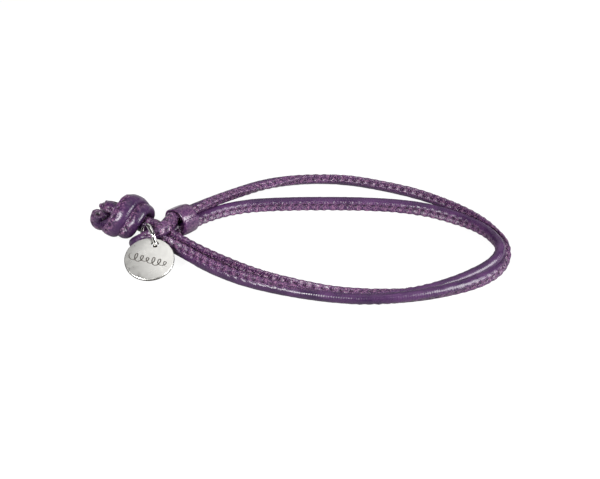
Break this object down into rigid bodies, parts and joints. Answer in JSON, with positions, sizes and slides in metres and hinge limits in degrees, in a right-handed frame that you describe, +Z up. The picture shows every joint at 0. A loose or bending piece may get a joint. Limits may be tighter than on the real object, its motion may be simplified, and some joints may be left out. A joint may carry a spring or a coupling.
{
  "type": "leather cord bracelet",
  "caption": "Stitched round leather cord bracelet with loop-and-knot closure, sliding leather band and round tag on a jump ring",
  "frame": {"origin": "middle of the bracelet's bounding box, on the surface that it lies on", "axes": "+X from the knot to the round end, +Y to the far pair of strands, +Z up"},
  "size_m": [0.1031, 0.0587, 0.0112],
  "materials": {
    "cord_leather": "satin nappa leather, stitched along one seam",
    "cord_core": "soft dyed cotton",
    "slider_leather": "smooth satin leather",
    "ring_metal": "polished silver-coloured wire",
    "disc_metal": "satin silver-coloured sheet with a bright edge"
  },
  "bodies": {
    "cord": {"outer_strand_cover": "cord_leather", "inner_strand_cover": "cord_leather", "closing_loop_cover": "cord_leather", "outer_wrap_cover": "cord_leather", "inner_wrap_cover": "cord_leather", "outer_end_cover": "cord_leather", "inner_end_cover": "cord_leather", "outer_strand_core": "cord_core", "inner_strand_core": "cord_core", "closing_loop_core": "cord_core", "outer_wrap_core": "cord_core", "inner_wrap_core": "cord_core", "outer_end_core": "cord_core", "inner_end_core": "cord_core"},
    "slider": {"slider": "slider_leather"},
    "ring": {"jump_ring": "ring_metal"},
    "disc": {"disc": "disc_metal"}
  },
  "joints": [
    {"name": "slider_slide", "type": "slide", "parent": "cord", "child": "slider", "axis": [0.661, 0.7461, -0.0801], "range_m": [0, 0.005]},
    {"name": "ring_swing", "type": "hinge", "parent": "cord", "child": "ring", "pos_m": [-0.0366, -0.0064, 0.0055], "axis": [-0.8706, -0.4903, 0.04], "range_deg": [0, 60]},
    {"name": "disc_swing", "type": "hinge", "parent": "ring", "child": "disc", "pos_m": [-0.03491, -0.00986, 0.0046], "axis": [0, -0.4068, 0.9135], "range_deg": [-10, 20]}
  ]
}
